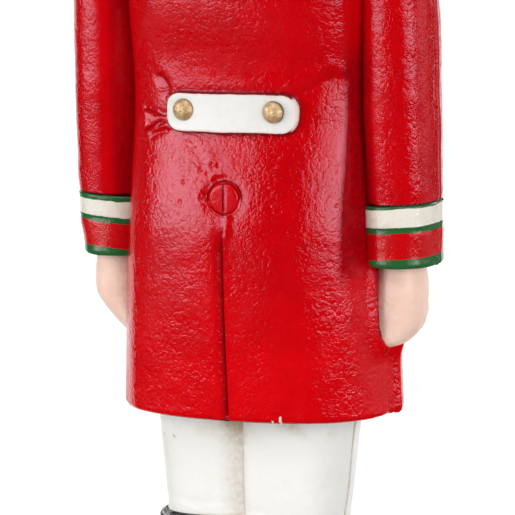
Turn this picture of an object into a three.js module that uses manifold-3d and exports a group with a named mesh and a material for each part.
// A standing guard soldier: painted castings held together by one slotted screw through the back of the coat.
// Millimetres, +Z up. The back of the figure faces -Y, its face looks along +Y and its right hand is on +X.
// The origin is the centre of the underside, where the felt pad meets the table.

import * as THREE from "three";
import { mergeVertices } from "three/addons/utils/BufferGeometryUtils.js";
import Module from "manifold-3d";

// Fits
const seamGap = 0.3; // between two castings that touch
const dowelFit = 0.2; // round a pin in its hole

// Felt pad and base
const feltThickness = 1.5;
const feltInset = 2;
const baseWidth = 92;
const baseDepth = 70;
const baseHeight = 10.5;
const baseCornerRadius = 8;
const baseEdgeRound = 1.8;

// Boots, and the wood screws that hold them to the base
const bootSquareness = 2.4;
const bootHeight = 65;
const bootTopHalfWidth = 11.8;
const bootTopHalfDepth = 12.8;
const ankleHalfWidth = 10;
const ankleHalfDepth = 11.4;
const ankleRise = 24;
const instepRise = 15;
const soleHalfWidth = 10.8;
const soleThickness = 3.4;
const heelReach = 13;
const toeReach = 25;
const bootScrewShankRadius = 1.6;
const bootScrewHeadRadius = 3.2;
const bootScrewHeadHeight = 2.4;
const bootScrewReach = 13;

// Trouser legs
const legSquareness = 2.7;
const trouserLength = 24;
const kneeHalfWidth = 10.6;
const kneeHalfDepth = 11.8;
const thighHalfWidth = 11.7;
const thighHalfDepth = 12.6;
const legPegRadius = 6;
const legPegLength = 9;
const legFlangeLip = 2.4;
const legFlangeThickness = 4;

// Coat: heights above the hem, drops below the neck, and half sizes of its section
const coatHeight = 125;
const seatRise = 42;
const waistRise = 70.6;
const chestDrop = 27;
const shoulderDrop = 10;
const hemHalfWidth = 33;
const hemBack = 21.2;
const hemFront = 20.5;
const seatHalfWidth = 31;
const seatBack = 23.2;
const seatFront = 20.6;
const waistHalfWidth = 29.6;
const waistBack = 17.6;
const waistFront = 18.6;
const chestHalfWidth = 31;
const chestBack = 19.5;
const chestFront = 21.4;
const shoulderHalfWidth = 29.5;
const shoulderDepth = 16.4;
const neckHalfWidth = 13.5;
const neckDepth = 12.6;
const coatSquareness = 2.4; // 2 is an ellipse, more is boxier

// Coat walls
const wall = 4.4;
const sideWall = 9.6;
const skirtFloor = 5;
const neckPlate = 13;
const webHalfThickness = 3;
const ventDepth = 1.3;
const ventWidth = 0.9;
const ventDrop = 5.5; // below the screw

// Clamp screw, its washer and square nut, and the two locating dowels
const screwRise = 51;
const screwRadius = 2;
const screwHeadRadius = 3.5;
const screwHeadHeight = 2.6;
const screwSlotWidth = 1.1;
const screwSlotDepth = 1.3;
const screwCounterboreGap = 0.7;
const screwTip = 4; // beyond the nut
const washerRadius = 3.9;
const washerThickness = 0.8;
const nutWidth = 7;
const nutThickness = 3.2;
const nutSeat = 5; // from the parting plane
const bossRadius = 6.6;
const dowelRadius = 1.5;
const dowelLength = 10;
const lowerDowelRise = 24;
const upperDowelDrop = 30;

// Half belt, studs and front buttons
const beltLength = 32.6;
const beltHeight = 9.8;
const beltThickness = 1.6;
const beltCornerRadius = 4;
const studSpacing = 21.6;
const studRadius = 2.5;
const studDome = 1.4;
const studPegRadius = 1.2;
const studPegLength = 3;
const frontButtonCount = 5;
const frontButtonPitch = 17;
const topButtonDrop = 24;

// Sleeves, cuffs, hands and arm dowels
const sleeveSquareness = 2.4;
const sleeveSink = 4.9; // how far a sleeve lies inside the coat's chest
const sleeveLength = 61.4;
const upperSleeveHalfWidth = 8.3;
const upperSleeveHalfDepth = 10.4;
const lowerSleeveHalfWidth = 8;
const lowerSleeveHalfDepth = 9.3;
const shoulderDome = 7.2;
const shoulderLean = 4; // of the dome's top towards the neck
const armDowelDrop = 14;
const armDowelRadius = 2;
const armDowelGrip = 5;
const cuffHeight = 15;
const cuffHalfWidth = 8.6;
const cuffHalfDepth = 9.7;
const cuffWall = 2.4;
const cuffLip = 2.2;
const handLength = 19;
const wristHalfWidth = 5.4;
const wristHalfDepth = 6.6;
const palmHalfWidth = 6.4;
const palmHalfDepth = 8;
const fingertipInset = 3;
const fingertipHalfWidth = 1.6;
const fingertipHalfDepth = 2.6;
const knuckleRise = 5.7; // above the fingertips
const palmRise = 12.5;
const wristPegRadius = 3;
const wristPegLength = 8;

// Shoulder straps and collar
const strapLength = 17;
const strapWidth = 9;
const strapThickness = 1.2;
const collarHeight = 7;
const collarWall = 3.4;

// Head, cap, chin strap and the dowel that joins head and cap
const neckRadius = 7.8;
const neckFlangeRadius = 10.4;
const neckFlangeThickness = 3.4;
const chinRise = 7; // above the coat's neck
const headHeight = 34;
const headHalfWidth = 12.6;
const faceReach = 14.4;
const napeReach = 13.6;
const browRise = 18; // above the chin
const headSquareness = 2.1;
const noseHalfWidth = 2.2;
const noseLength = 6.8;
const chinHalfWidth = 4.5;
const chinReach = 8;
const jawRise = 5;
const jawHalfWidth = 10;
const jawBack = 9.5;
const jawFront = 13;
const crownDrop = 6;
const crownHalfWidth = 10;
const crownReach = 11.2;
const capHeight = 57;
const capHalfWidth = 20.5;
const capHalfDepth = 20.8;
const capSwell = 2.6;
const capSwellRise = 18;
const capDomeRise = 34;
const capSetBack = 1;
const capDowelRadius = 2;
const capDowelLength = 12;
const chinStrapRadius = 0.9;
const chinStrapRise = 5; // above the chin

// Paint colours
const coatRed = 0xc4101c;
const trouserWhite = 0xece6d8;
const trimWhite = 0xf2efe4;
const trimGreen = 0x2c7a3c;
const bootBlack = 0x16161a;
const furBlack = 0x1a1718;
const skinPink = 0xf0bd98;
const buttonGold = 0xb98a45;
const bareSteel = 0x8d8f92;
const feltGreen = 0x27472f;

// Levels and places that follow from the sizes
const floorZ = feltThickness + baseHeight;
const bootTopZ = floorZ + bootHeight;
const hemZ = bootTopZ + trouserLength;
const coatTopZ = hemZ + coatHeight;
const waistZ = hemZ + waistRise;
const screwZ = hemZ + screwRise;
const chamberZ = hemZ + skirtFloor;
const chamberTopZ = chamberZ + legFlangeThickness + 2 * seamGap;
const coreTopZ = coatTopZ - neckPlate;
const neckFlangeZ = coreTopZ - seamGap - neckFlangeThickness;
const armDowelZ = coatTopZ - armDowelDrop;
const cuffTopZ = armDowelZ - sleeveLength;
const cuffBottomZ = cuffTopZ - cuffHeight;
const chinZ = coatTopZ + chinRise;
const browZ = chinZ + browRise;
const crownZ = chinZ + headHeight;
const legX = Math.max(thighHalfWidth, kneeHalfWidth) + seamGap / 2;
const sleeveX = chestHalfWidth + upperSleeveHalfWidth - sleeveSink;
const strapMiddleX = (neckHalfWidth + sleeveX - upperSleeveHalfWidth) / 2;
const bootScrewY = (toeReach - heelReach) / 4;

// Counts of facets
const coatSides = 32;
const coreSides = 20;
const limbSides = 18;
const roundSides = 12;

const wasm = await Module();
wasm.setup();

function toSolid(geometry) {
  const bare = geometry.clone();
  bare.deleteAttribute("normal");
  bare.deleteAttribute("uv");
  const merged = mergeVertices(bare, 1e-4);
  return new wasm.Manifold(
    new wasm.Mesh({
      numProp: 3,
      vertProperties: merged.attributes.position.array,
      triVerts: new Uint32Array(merged.index.array),
    }),
  );
}

function toGeometry(solid) {
  const mesh = solid.getMesh();
  return new THREE.BufferGeometry()
    .setAttribute("position", new THREE.BufferAttribute(mesh.vertProperties, mesh.numProp))
    .setIndex(new THREE.BufferAttribute(mesh.triVerts, 1));
}

function cut(geometry, ...tools) {
  return toGeometry(tools.reduce((solid, tool) => solid.subtract(toSolid(tool)), toSolid(geometry)));
}

function join(geometry, ...others) {
  return toGeometry(others.reduce((solid, other) => solid.add(toSolid(other)), toSolid(geometry)));
}

function common(geometry, other) {
  return toGeometry(toSolid(geometry).intersect(toSolid(other)));
}

// The same shape on the other side of the figure, with its faces turned to point out again.
function mirrored(geometry) {
  const copy = geometry.index ? geometry.toNonIndexed() : geometry.clone();
  copy.deleteAttribute("normal");
  copy.deleteAttribute("uv");
  copy.scale(-1, 1, 1);
  const points = copy.attributes.position;
  const corner = new THREE.Vector3();
  const swapped = new THREE.Vector3();
  for (let i = 0; i < points.count; i += 3) {
    corner.fromBufferAttribute(points, i + 1);
    swapped.fromBufferAttribute(points, i + 2);
    points.setXYZ(i + 1, ...swapped);
    points.setXYZ(i + 2, ...corner);
  }
  return copy;
}

function box(minX, maxX, minY, maxY, minZ, maxZ) {
  return new THREE.BoxGeometry(maxX - minX, maxY - minY, maxZ - minZ).translate(
    (minX + maxX) / 2,
    (minY + maxY) / 2,
    (minZ + maxZ) / 2,
  );
}

function rodAlongX(radius, minX, maxX, y, z) {
  return new THREE.CylinderGeometry(radius, radius, maxX - minX, roundSides)
    .rotateZ(Math.PI / 2)
    .translate((minX + maxX) / 2, y, z);
}

function rodAlongY(radius, minY, maxY, x, z) {
  const middle = (minY + maxY) / 2;
  return new THREE.CylinderGeometry(radius, radius, maxY - minY, roundSides).translate(x, middle, z);
}

function rodAlongZ(radius, minZ, maxZ, x, y) {
  return new THREE.CylinderGeometry(radius, radius, maxZ - minZ, roundSides)
    .rotateX(Math.PI / 2)
    .translate(x, y, (minZ + maxZ) / 2);
}

function roundedRectangle(width, height, radius) {
  const x = width / 2;
  const y = height / 2;
  const shape = new THREE.Shape();
  shape.absarc(x - radius, y - radius, radius, 0, Math.PI / 2);
  shape.absarc(radius - x, y - radius, radius, Math.PI / 2, Math.PI);
  shape.absarc(radius - x, radius - y, radius, Math.PI, 1.5 * Math.PI);
  shape.absarc(x - radius, radius - y, radius, 1.5 * Math.PI, 2 * Math.PI);
  return shape;
}

// One level outline of a limb or body: a rounded box with its own reach to the back and to the front.
function ring({ x = 0, y = 0, z, halfWidth, back, front = back }, squareness, sides, grow = 0) {
  const points = [];
  for (let i = 0; i < sides; i++) {
    const angle = (2 * Math.PI * i) / sides;
    const across = Math.cos(angle);
    const along = Math.sin(angle);
    const reach = (along < 0 ? back : front) + grow;
    points.push(
      new THREE.Vector3(
        x + (halfWidth + grow) * Math.sign(across) * Math.abs(across) ** (2 / squareness),
        y + reach * Math.sign(along) * Math.abs(along) ** (2 / squareness),
        z,
      ),
    );
  }
  return points;
}

// A closed solid skinned over rings of equal point count, listed from the bottom up.
function loft(rings) {
  const sides = rings[0].length;
  const points = rings.flat();
  const index = [];
  for (let level = 0; level < rings.length - 1; level++) {
    for (let i = 0; i < sides; i++) {
      const here = level * sides + i;
      const next = level * sides + ((i + 1) % sides);
      index.push(here, next, next + sides, here, next + sides, here + sides);
    }
  }
  const middle = (outline) =>
    outline.reduce((sum, point) => sum.add(point), new THREE.Vector3()).divideScalar(outline.length);
  const bottom = points.push(middle(rings[0])) - 1;
  const top = points.push(middle(rings.at(-1))) - 1;
  const lastRing = (rings.length - 1) * sides;
  for (let i = 0; i < sides; i++) {
    const next = (i + 1) % sides;
    index.push(bottom, next, i, top, lastRing + i, lastRing + next);
  }
  return new THREE.BufferGeometry().setFromPoints(points).setIndex(index);
}

// Levels between the named stations, on smooth curves through them.
function smoothStations(stations, steps) {
  const sizes = ["x", "y", "z", "halfWidth", "back", "front"];
  const curves = sizes.map(
    (size) =>
      new THREE.SplineCurve(
        stations.map((station, i) => {
          const unset = size === "front" ? station.back : 0;
          return new THREE.Vector2(i, station[size] ?? unset);
        }),
      ),
  );
  const levels = [];
  for (let i = 0; i <= steps; i++) {
    levels.push(Object.fromEntries(sizes.map((size, k) => [size, curves[k].getPoint(i / steps).y])));
  }
  return levels;
}

function limb(stations, squareness, steps, grow = 0) {
  return loft(smoothStations(stations, steps).map((level) => ring(level, squareness, limbSides, grow)));
}

// Base: a rounded block, bored from below for the two boot screws, on a felt pad.
function bootScrewTool(radius, minZ, maxZ) {
  const bore = rodAlongZ(radius, minZ, maxZ, legX, bootScrewY);
  return [bore, mirrored(bore)];
}

function baseGeometry() {
  const block = new THREE.ExtrudeGeometry(
    roundedRectangle(
      baseWidth - 2 * baseEdgeRound,
      baseDepth - 2 * baseEdgeRound,
      baseCornerRadius - baseEdgeRound,
    ),
    {
      depth: baseHeight - 2 * baseEdgeRound,
      bevelThickness: baseEdgeRound,
      bevelSize: baseEdgeRound,
      bevelSegments: 2,
      curveSegments: 4,
    },
  ).translate(0, 0, feltThickness + baseEdgeRound);
  const headDepth = feltThickness + bootScrewHeadHeight + seamGap;
  return cut(
    block,
    ...bootScrewTool(bootScrewShankRadius + dowelFit, feltThickness - 1, floorZ + 1),
    ...bootScrewTool(bootScrewHeadRadius + seamGap, feltThickness - 1, headDepth),
  );
}

function feltGeometry() {
  return new THREE.ExtrudeGeometry(
    roundedRectangle(baseWidth - 2 * feltInset, baseDepth - 2 * feltInset, baseCornerRadius - feltInset),
    { depth: feltThickness, bevelEnabled: false, curveSegments: 4 },
  );
}

function bootScrewGeometry() {
  const headTop = feltThickness + bootScrewHeadHeight;
  return join(
    rodAlongZ(bootScrewHeadRadius, feltThickness, headTop, legX, bootScrewY),
    rodAlongZ(bootScrewShankRadius, headTop - 0.5, floorZ + bootScrewReach, legX, bootScrewY),
  );
}

// Boots: a shaft that runs down into a foot, with a socket for the leg's peg.
function bootGeometry() {
  const sole = { x: legX, halfWidth: soleHalfWidth, back: heelReach, front: toeReach };
  const ankle = { x: legX, halfWidth: ankleHalfWidth, back: ankleHalfDepth, front: ankleHalfDepth };
  const stations = [
    { ...sole, z: floorZ },
    { ...sole, z: floorZ + soleThickness },
    { ...ankle, z: floorZ + instepRise, front: (toeReach + ankleHalfDepth) / 2 },
    { ...ankle, z: floorZ + ankleRise },
    { ...ankle, z: bootTopZ, halfWidth: bootTopHalfWidth, back: bootTopHalfDepth, front: bootTopHalfDepth },
  ];
  const holeTop = floorZ + bootScrewReach + seamGap;
  const [screwHole] = bootScrewTool(bootScrewShankRadius + dowelFit, floorZ - 1, holeTop);
  return cut(
    limb(stations, bootSquareness, 12),
    rodAlongZ(legPegRadius + dowelFit, bootTopZ - legPegLength - seamGap, bootTopZ + 1, legX, 0),
    screwHole,
    box(-baseWidth, seamGap / 2, -baseDepth, baseDepth, 0, bootTopZ + 1),
  );
}

// Trouser legs: squarish, side by side, each gripped by its flange above the skirt's floor.
function legTube(grow) {
  const knee = { x: legX, halfWidth: kneeHalfWidth, back: kneeHalfDepth, z: bootTopZ + seamGap };
  const thigh = { x: legX, halfWidth: thighHalfWidth, back: thighHalfDepth, z: hemZ };
  return limb([knee, thigh, { ...thigh, z: chamberZ + seamGap + 1 }], legSquareness, 6, grow);
}

function legGeometry() {
  const lip = {
    x: legX + legFlangeLip / 2,
    halfWidth: thighHalfWidth + legFlangeLip / 2,
    back: thighHalfDepth + legFlangeLip,
  };
  const flangeZ = chamberZ + seamGap;
  const faces = [{ ...lip, z: flangeZ }, { ...lip, z: flangeZ + legFlangeThickness }];
  const flange = limb(faces, legSquareness, 1);
  return join(
    legTube(0),
    common(flange, legChamber(-seamGap)),
    rodAlongZ(legPegRadius, bootTopZ - legPegLength, bootTopZ + 1, legX, 0),
  );
}

// The space above the skirt's floor that holds both flanges.
function legChamber(grow) {
  const chamber = { halfWidth: hemHalfWidth - wall, back: hemBack - wall, front: hemFront - wall };
  const levels = [chamberZ, chamberTopZ].map((z) => ({ ...chamber, z }));
  return loft(levels.map((level) => ring(level, coatSquareness, coreSides, grow)));
}

// Coat: one lofted body, cored out and parted at the side seams into a back and a front shell.
const coatStations = [
  { z: hemZ, halfWidth: hemHalfWidth, back: hemBack, front: hemFront },
  { z: hemZ + seatRise, halfWidth: seatHalfWidth, back: seatBack, front: seatFront },
  { z: waistZ, halfWidth: waistHalfWidth, back: waistBack, front: waistFront },
  { z: coatTopZ - chestDrop, halfWidth: chestHalfWidth, back: chestBack, front: chestFront },
  { z: coatTopZ - shoulderDrop, halfWidth: shoulderHalfWidth, back: shoulderDepth },
  { z: coatTopZ, halfWidth: neckHalfWidth, back: neckDepth },
];
const coatLevels = smoothStations(coatStations, 10);

function coatBody(grow) {
  return loft(coatLevels.map((level) => ring(level, coatSquareness, coatSides, grow)));
}

// How far the coat reaches to the back or to the front at a height.
function coatReach(z, side) {
  const above = coatLevels.findIndex((level) => level.z >= z);
  const low = coatLevels[above - 1];
  const high = coatLevels[above];
  return THREE.MathUtils.mapLinear(z, low.z, high.z, low[side], high[side]);
}

// The layer between two distances from the coat's surface, for what is laid on it or grooved into it.
function coatLayer(inner, outer) {
  return cut(coatBody(outer), coatBody(inner));
}

function coatCore() {
  const inside = coatLevels
    .filter((level) => level.z > chamberTopZ && level.z < coreTopZ)
    .map((level) => ({
      ...level,
      halfWidth: level.halfWidth - sideWall,
      back: level.back - wall,
      front: level.front - wall,
    }));
  const levels = [{ ...inside[0], z: chamberTopZ - 1 }, ...inside, { ...inside.at(-1), z: coreTopZ }];
  const trunk = loft(levels.map((level) => ring(level, coatSquareness, coreSides)));
  const web = box(
    -webHalfThickness,
    webHalfThickness,
    -seatBack,
    seatFront + wall,
    chamberTopZ,
    neckFlangeZ - seamGap,
  );
  const boss = rodAlongY(bossRadius, -seatBack, screwEndY + wall, 0, screwZ);
  return join(cut(trunk, web, boss), legChamber(0));
}

function armDowelGeometry(grow = 0) {
  const inner = chestHalfWidth - sideWall + seamGap;
  return rodAlongX(armDowelRadius + grow, inner - grow, sleeveX + armDowelGrip + grow, 0, armDowelZ);
}

function dowelGeometry(z, grow = 0) {
  const half = dowelLength / 2 + grow;
  return rodAlongY(dowelRadius + grow, -half, half, 0, z);
}

const lowerDowelZ = hemZ + lowerDowelRise;
const upperDowelZ = coatTopZ - upperDowelDrop;
const screwFaceY = -coatReach(screwZ, "back");
const screwSeatY = screwFaceY + screwHeadHeight;
const washerY = screwSeatY + dowelFit;
const screwEndY = nutSeat + nutThickness + screwTip;

function clampHoles() {
  const slotEnd = nutSeat + nutThickness + seamGap;
  const counterboreEnd = washerY + washerThickness + dowelFit;
  const halfNut = nutWidth / 2 + seamGap;
  return [
    rodAlongY(screwRadius + dowelFit, screwFaceY - 1, screwEndY + seamGap, 0, screwZ),
    rodAlongY(screwHeadRadius + screwCounterboreGap, screwFaceY - wall, counterboreEnd, 0, screwZ),
    box(-halfNut, bossRadius + 1, nutSeat - seamGap, slotEnd, screwZ - halfNut, screwZ + halfNut),
    dowelGeometry(lowerDowelZ, dowelFit),
    dowelGeometry(upperDowelZ, dowelFit),
  ];
}

function coatGrooves() {
  const halfVent = ventWidth / 2;
  const layer = coatLayer(-ventDepth, 1);
  const vent = box(-halfVent, halfVent, -2 * seatBack, 0, hemZ - 1, screwZ - screwHeadRadius - ventDrop);
  const closure = box(-halfVent, halfVent, 0, 2 * seatFront, hemZ - 1, coatTopZ - shoulderDrop);
  return [common(layer, vent), common(layer, closure)];
}

function coatGeometry() {
  const arm = [sleeveBody(seamGap), cuffBody(seamGap), handBody(seamGap), armDowelGeometry(dowelFit)];
  const leg = legTube(seamGap);
  return cut(
    coatBody(0),
    coatCore(),
    ...clampHoles(),
    ...coatGrooves(),
    ...arm,
    ...arm.map(mirrored),
    leg,
    mirrored(leg),
    rodAlongZ(neckRadius + seamGap, coreTopZ - 1, coatTopZ + 1, 0, 0),
    ...studs().map((stud) => studGeometry(stud, seamGap)),
  );
}

function halfOf(coat, towards) {
  const far = 2 * baseWidth;
  const near = towards * (seamGap / 2);
  const [minY, maxY] = [near, towards * far].sort((a, b) => a - b);
  return common(coat, box(-far, far, minY, maxY, 0, 2 * coatTopZ));
}

// Clamp screw: a cheese head with a slot, and a plain shank for the thread. A washer lies under its head,
// and its nut is held in a slot of the boss.
function clampScrewGeometry() {
  const halfSlot = screwSlotWidth / 2;
  const screw = join(
    rodAlongY(screwHeadRadius, screwFaceY, screwSeatY, 0, screwZ),
    rodAlongY(screwRadius, screwSeatY - 0.5, screwEndY, 0, screwZ),
  );
  const slot = box(
    -halfSlot,
    halfSlot,
    screwFaceY - 1,
    screwFaceY + screwSlotDepth,
    screwZ - 2 * screwHeadRadius,
    screwZ + 2 * screwHeadRadius,
  );
  return cut(screw, slot);
}

function clampWasherGeometry() {
  return cut(
    rodAlongY(washerRadius, washerY, washerY + washerThickness, 0, screwZ),
    rodAlongY(screwRadius + dowelFit, washerY - 1, washerY + washerThickness + 1, 0, screwZ),
  );
}

function clampNutGeometry() {
  const half = nutWidth / 2;
  return cut(
    box(-half, half, nutSeat, nutSeat + nutThickness, screwZ - half, screwZ + half),
    rodAlongY(screwRadius + dowelFit, nutSeat - 1, nutSeat + nutThickness + 1, 0, screwZ),
  );
}

// Half belt: a round-cornered strap that follows the small of the back.
function halfBeltGeometry() {
  const outline = new THREE.ExtrudeGeometry(roundedRectangle(beltLength, beltHeight, beltCornerRadius), {
    depth: 2 * waistBack,
    bevelEnabled: false,
    curveSegments: 4,
  })
    .rotateX(Math.PI / 2)
    .translate(0, -waistBack / 2 + seamGap, waistZ);
  const strap = common(coatLayer(seamGap, seamGap + beltThickness), outline);
  return cut(strap, ...beltStuds.map((stud) => studGeometry(stud, seamGap)));
}

// Studs and buttons: a low dome on a peg. Each faces -Y or +Y, and its head sits on y.
const beltStuds = [-1, 1].map((side) => {
  const x = (side * studSpacing) / 2;
  const level = { halfWidth: waistHalfWidth, back: waistBack };
  const share = (Math.abs(x) / level.halfWidth) ** coatSquareness;
  const reach = level.back * (1 - share) ** (1 / coatSquareness);
  const y = -(reach + beltThickness + seamGap);
  return { x, y, z: waistZ, facing: -1, peg: studPegLength + beltThickness };
});

const frontButtons = Array.from({ length: frontButtonCount }, (_, i) => {
  const z = coatTopZ - topButtonDrop - i * frontButtonPitch;
  return { x: 0, y: coatReach(z, "front"), z, facing: 1, peg: studPegLength };
});

function studs() {
  return [...beltStuds, ...frontButtons];
}

function studGeometry({ x, y, z, facing, peg }, grow = 0) {
  const rim = studRadius + grow;
  const pegRadius = studPegRadius + (grow ? dowelFit : 0);
  const profile = [
    new THREE.Vector2(0, -peg - grow),
    new THREE.Vector2(pegRadius, -peg - grow),
    new THREE.Vector2(pegRadius, -0.4 - grow),
    new THREE.Vector2(rim, -0.4 - grow),
    new THREE.Vector2(rim, 0.3 + grow),
    new THREE.Vector2(rim * Math.cos(Math.PI / 5), 0.3 + (studDome + grow) * Math.sin(Math.PI / 5)),
    new THREE.Vector2(rim * Math.cos(Math.PI / 3), 0.3 + (studDome + grow) * Math.sin(Math.PI / 3)),
    new THREE.Vector2(0, 0.3 + studDome + grow),
  ];
  const turned = new THREE.LatheGeometry(profile, roundSides);
  return (facing < 0 ? turned.rotateX(Math.PI) : turned).translate(x, y, z);
}

// Arms: a solid sleeve with a domed shoulder, a cuff ring on its spigot, and a hand pegged up into it.
function sleeveBody(grow) {
  const lower = { x: sleeveX, halfWidth: lowerSleeveHalfWidth, back: lowerSleeveHalfDepth };
  const upper = { x: sleeveX, halfWidth: upperSleeveHalfWidth, back: upperSleeveHalfDepth };
  const elbowZ = (cuffTopZ + armDowelZ) / 2;
  const arm = smoothStations(
    [
      { ...lower, z: cuffTopZ - grow },
      { ...upper, z: elbowZ },
      { ...upper, z: armDowelZ },
    ],
    4,
  );
  const dome = [25, 50, 70, 82].map((degrees) => {
    const angle = THREE.MathUtils.degToRad(degrees);
    return {
      x: sleeveX - shoulderLean * Math.sin(angle) ** 2,
      z: armDowelZ + (shoulderDome + grow) * Math.sin(angle),
      halfWidth: upperSleeveHalfWidth * Math.cos(angle),
      back: upperSleeveHalfDepth * Math.cos(angle),
      front: upperSleeveHalfDepth * Math.cos(angle),
    };
  });
  return loft([...arm, ...dome].map((level) => ring(level, sleeveSquareness, limbSides, grow)));
}

function cuffBody(grow) {
  const cuff = { x: sleeveX, halfWidth: cuffHalfWidth, back: cuffHalfDepth };
  const ends = [{ ...cuff, z: cuffBottomZ - grow }, { ...cuff, z: cuffTopZ - seamGap + grow }];
  return limb(ends, sleeveSquareness, 1, grow);
}

function spigot(grow) {
  const inner = { x: sleeveX, halfWidth: cuffHalfWidth - cuffWall, back: cuffHalfDepth - cuffWall };
  const foot = { ...inner, z: cuffBottomZ + cuffLip - grow };
  return limb([foot, { ...inner, z: cuffTopZ + 1 }], sleeveSquareness, 1, grow);
}

function wristPeg(grow) {
  const top = cuffBottomZ + cuffLip + wristPegLength;
  return rodAlongZ(wristPegRadius + grow, cuffBottomZ, top + grow, sleeveX, 0);
}

function sleeveGeometry() {
  return cut(join(sleeveBody(0), spigot(0)), wristPeg(dowelFit), armDowelGeometry(dowelFit));
}

function cuffGeometry() {
  const inner = { x: sleeveX, halfWidth: cuffHalfWidth - cuffWall, back: cuffHalfDepth - cuffWall };
  const ends = [{ ...inner, z: cuffBottomZ - 1 }, { ...inner, z: cuffTopZ + 1 }];
  const mouth = limb(ends, sleeveSquareness, 1, seamGap);
  return cut(cuffBody(0), mouth);
}

function handBody(grow) {
  const palm = { x: sleeveX, halfWidth: palmHalfWidth, back: palmHalfDepth };
  const tipX = sleeveX - fingertipInset;
  const tipZ = cuffBottomZ - handLength;
  const tip = { x: tipX, halfWidth: fingertipHalfWidth, back: fingertipHalfDepth };
  const stations = [
    { ...tip, z: tipZ - grow },
    { ...tip, z: tipZ + fingertipHalfWidth, halfWidth: 2.5 * tip.halfWidth, back: 2 * tip.back },
    { ...palm, x: (sleeveX + tipX) / 2, z: tipZ + knuckleRise },
    { ...palm, z: tipZ + palmRise },
    { x: sleeveX, z: cuffBottomZ + cuffLip - seamGap, halfWidth: wristHalfWidth, back: wristHalfDepth },
  ];
  return limb(stations, sleeveSquareness, 8, grow);
}

function handGeometry() {
  return join(handBody(0), wristPeg(0));
}

// Shoulder straps lie on the coat between collar and sleeve.
function shoulderStrapGeometry() {
  const half = strapLength / 2;
  const plan = box(
    strapMiddleX - half,
    strapMiddleX + half,
    -strapWidth / 2,
    strapWidth / 2,
    coatTopZ - 2 * shoulderDrop,
    coatTopZ + shoulderDrop,
  );
  const strap = common(coatLayer(seamGap, seamGap + strapThickness), plan);
  return cut(strap, sleeveBody(seamGap), collarBody(seamGap));
}

// Collar: a standing band round the neck.
function collarBody(grow) {
  const band = { halfWidth: neckRadius + collarWall, back: neckRadius + collarWall };
  return limb(
    [
      { ...band, z: coatTopZ + seamGap - grow },
      { ...band, z: coatTopZ + seamGap + collarHeight + grow },
    ],
    2,
    1,
    grow,
  );
}

function collarGeometry() {
  return cut(collarBody(0), neckAndHead(seamGap));
}

// Head: a plain egg on a neck, whose flange the two coat shells grip.
function headStations(grow) {
  return [
    { z: chinZ - grow, halfWidth: chinHalfWidth, back: chinHalfWidth, front: chinReach },
    { z: chinZ + jawRise, halfWidth: jawHalfWidth, back: jawBack, front: jawFront },
    { z: browZ, halfWidth: headHalfWidth, back: napeReach, front: faceReach },
    { z: crownZ - crownDrop, halfWidth: crownHalfWidth, back: crownReach },
    { z: crownZ + grow, halfWidth: chinHalfWidth, back: chinHalfWidth },
  ];
}

function headEgg(grow) {
  return limb(headStations(grow), headSquareness, 12, grow);
}

function neckAndHead(grow) {
  return join(headEgg(grow), rodAlongZ(neckRadius + grow, neckFlangeZ, chinZ + 4, 0, 0));
}

function headGeometry() {
  const nose = new THREE.ConeGeometry(noseHalfWidth, noseLength, roundSides)
    .scale(1, 1, 1.3)
    .rotateX(Math.PI / 2)
    .translate(0, faceReach - 0.6, browZ - noseLength);
  const flange = rodAlongZ(neckFlangeRadius, neckFlangeZ, neckFlangeZ + neckFlangeThickness, 0, 0);
  return cut(join(neckAndHead(0), nose, flange), capDowelGeometry(dowelFit));
}

// Cap: a tall bearskin with a hollow for the head, on a dowel in the crown.
function capBody() {
  const lowerEdge = { y: -capSetBack, halfWidth: capHalfWidth - capSwell, back: capHalfDepth - capSwell };
  const swell = { y: -capSetBack, halfWidth: capHalfWidth, back: capHalfDepth };
  const domeZ = browZ + capDomeRise;
  const side = smoothStations(
    [
      { ...lowerEdge, z: browZ + seamGap },
      { ...swell, z: browZ + capSwellRise },
      { ...swell, z: domeZ },
    ],
    6,
  );
  const dome = [22, 44, 62, 76, 86].map((degrees) => {
    const angle = THREE.MathUtils.degToRad(degrees);
    const back = capHalfDepth * Math.cos(angle);
    return {
      x: 0,
      y: -capSetBack,
      z: domeZ + (capHeight - capDomeRise) * Math.sin(angle),
      halfWidth: capHalfWidth * Math.cos(angle),
      back,
      front: back,
    };
  });
  return loft([...side, ...dome].map((level) => ring(level, headSquareness, limbSides)));
}

function capDowelGeometry(grow = 0) {
  const half = capDowelLength / 2 + grow;
  return rodAlongZ(capDowelRadius + grow, crownZ - half, crownZ + half, 0, 0);
}

function capGeometry() {
  return cut(capBody(), headEgg(seamGap), capDowelGeometry(dowelFit));
}

// Chin strap: a thin chain that follows the cheeks down from the cap and passes under the lower lip.
function chinStrapGeometry() {
  const clear = chinStrapRadius + seamGap;
  const levels = smoothStations(headStations(0), 60);
  const onFace = (turn) => {
    const share = Math.abs(Math.sin(turn));
    const z = THREE.MathUtils.lerp(browZ - chinStrapRadius, chinZ + chinStrapRise, share ** 2);
    const level = levels.find((candidate) => candidate.z >= z);
    const across = (level.halfWidth + clear) * Math.cos(turn);
    return new THREE.Vector3(across, level.y + (level.front + clear) * share, z);
  };
  const turns = [8, 22, 40, 58, 75, 90, 105, 122, 140, 158, 172];
  const path = new THREE.CatmullRomCurve3(turns.map((degrees) => onFace(THREE.MathUtils.degToRad(degrees))));
  const section = new THREE.Shape().absarc(0, 0, chinStrapRadius, 0, 2 * Math.PI);
  const strap = new THREE.ExtrudeGeometry(section, { extrudePath: path, steps: 24, curveSegments: 6 });
  return cut(strap, headEgg(seamGap / 2));
}

const soldier = new THREE.Group();
soldier.name = "guard_soldier";

function addPiece(group, name, geometry, color, roughness = 0.35, metalness = 0) {
  const material = new THREE.MeshStandardMaterial({ color, roughness, metalness });
  const mesh = new THREE.Mesh(geometry, material);
  mesh.name = name;
  group.add(mesh);
}

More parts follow.
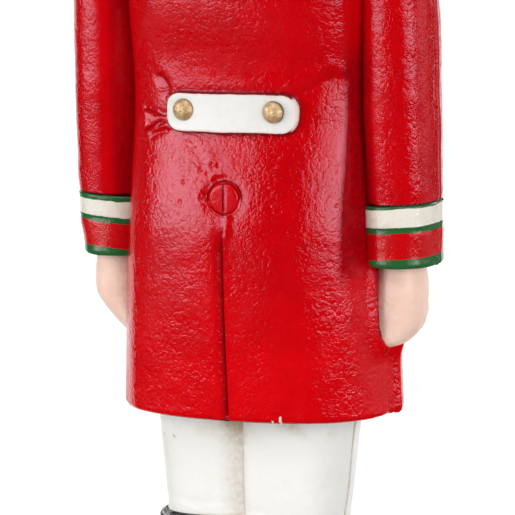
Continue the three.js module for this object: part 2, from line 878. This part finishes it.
// A pair of pieces: the right one as modelled, and the left one mirrored.
function addPair(group, name, geometry, ...finish) {
  addPiece(group, `right_${name}`, geometry, ...finish);
  addPiece(group, `left_${name}`, mirrored(geometry), ...finish);
}

const stand = new THREE.Group();
addPiece(stand, "base_felt", feltGeometry(), feltGreen, 0.95);
addPiece(stand, "base_plinth", baseGeometry(), trimGreen);
addPair(stand, "boot_screw", bootScrewGeometry(), bareSteel, 0.4, 0.9);

const legs = new THREE.Group();
addPair(legs, "boot", bootGeometry(), bootBlack);
addPair(legs, "trouser_leg", legGeometry(), trouserWhite);

const coat = new THREE.Group();
const coatWhole = coatGeometry();
addPiece(coat, "coat_back_shell", halfOf(coatWhole, -1), coatRed);
addPiece(coat, "coat_front_shell", halfOf(coatWhole, 1), coatRed);
addPiece(coat, "clamp_screw", clampScrewGeometry(), coatRed);
addPiece(coat, "clamp_washer", clampWasherGeometry(), bareSteel, 0.4, 0.9);
addPiece(coat, "clamp_nut", clampNutGeometry(), bareSteel, 0.4, 0.9);
addPiece(coat, "lower_locating_dowel", dowelGeometry(lowerDowelZ), bareSteel, 0.4, 0.9);
addPiece(coat, "upper_locating_dowel", dowelGeometry(upperDowelZ), bareSteel, 0.4, 0.9);
addPiece(coat, "half_belt", halfBeltGeometry(), trimWhite);
addPiece(coat, "left_belt_stud", studGeometry(beltStuds[0]), buttonGold, 0.4, 0.7);
addPiece(coat, "right_belt_stud", studGeometry(beltStuds[1]), buttonGold, 0.4, 0.7);
frontButtons.forEach((button, i) => {
  addPiece(coat, `front_button_${i + 1}`, studGeometry(button), buttonGold, 0.4, 0.7);
});
addPiece(coat, "collar", collarGeometry(), trimGreen);
addPair(coat, "shoulder_strap", shoulderStrapGeometry(), trimWhite);

const arms = new THREE.Group();
addPair(arms, "arm_dowel", armDowelGeometry(), bareSteel, 0.4, 0.9);
addPair(arms, "sleeve", sleeveGeometry(), coatRed);
addPair(arms, "cuff", cuffGeometry(), trimGreen);
addPair(arms, "hand", handGeometry(), skinPink, 0.5);

const top = new THREE.Group();
addPiece(top, "head", headGeometry(), skinPink, 0.5);
addPiece(top, "bearskin_cap", capGeometry(), furBlack, 0.8);
addPiece(top, "cap_dowel", capDowelGeometry(), bareSteel, 0.4, 0.9);
addPiece(top, "chin_strap", chinStrapGeometry(), buttonGold, 0.4, 0.7);

soldier.add(stand, legs, coat, arms, top);

export default soldier;
